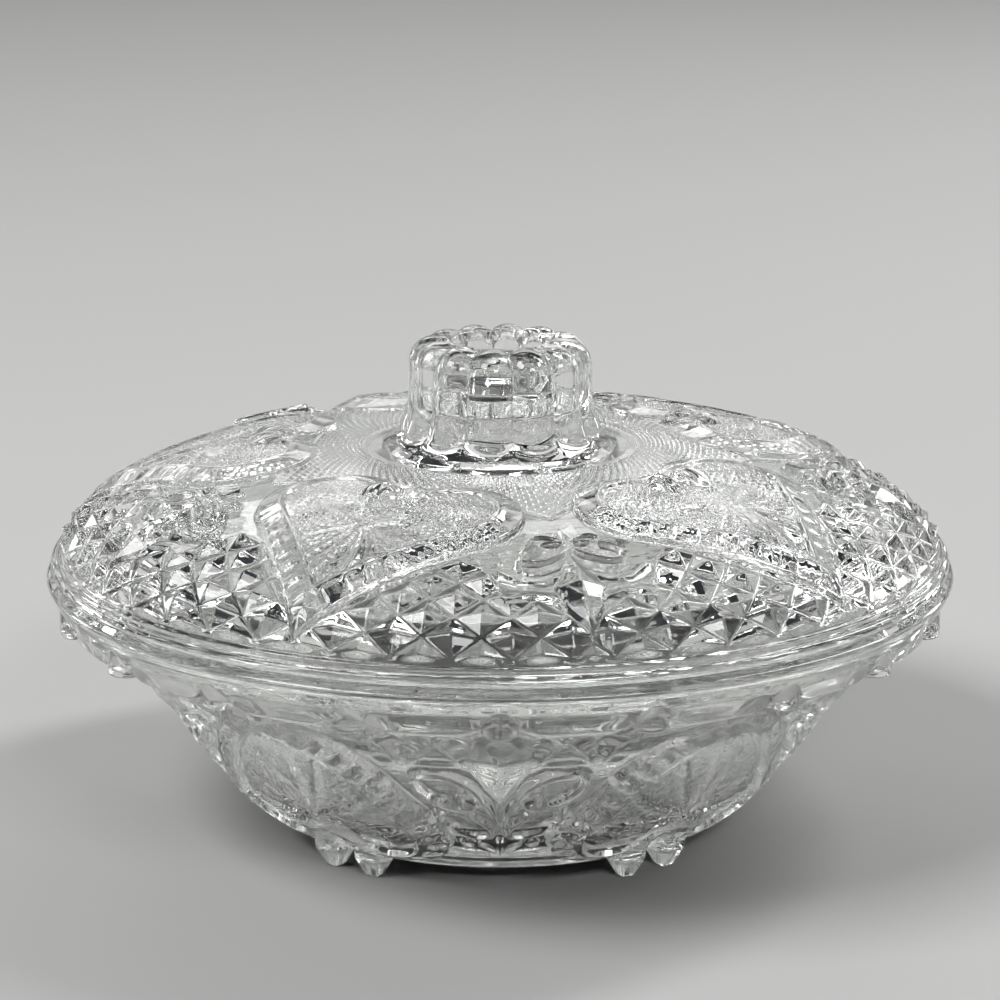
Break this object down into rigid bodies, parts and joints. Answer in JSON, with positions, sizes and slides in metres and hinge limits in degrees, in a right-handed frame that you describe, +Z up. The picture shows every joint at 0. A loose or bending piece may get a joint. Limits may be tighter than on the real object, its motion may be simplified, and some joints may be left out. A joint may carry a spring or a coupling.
{
  "type": "covered glass candy dish",
  "caption": "Covered round dish of clear pressed glass with heart and bow relief, a lobed knob on the lift-off lid, and toes under the bowl.",
  "frame": {"origin": "centre of the dish on the surface that its toes stand on", "axes": "+Z up along the dish's axis, through the knob; -Y toward the viewer, through a bow of the bowl's pattern"},
  "size_m": [0.182, 0.182, 0.0975],
  "materials": {
    "bowl_glass": "fire polished clear pressed glass",
    "lid_glass": "fire polished clear pressed glass"
  },
  "bodies": {
    "bowl": {"bowl": "bowl_glass"},
    "lid": {"lid": "lid_glass"}
  },
  "joints": [
    {"name": "lid_lift", "type": "slide", "parent": "bowl", "child": "lid", "axis": [0, 0, 1], "range_m": [0, 0.07]}
  ]
}
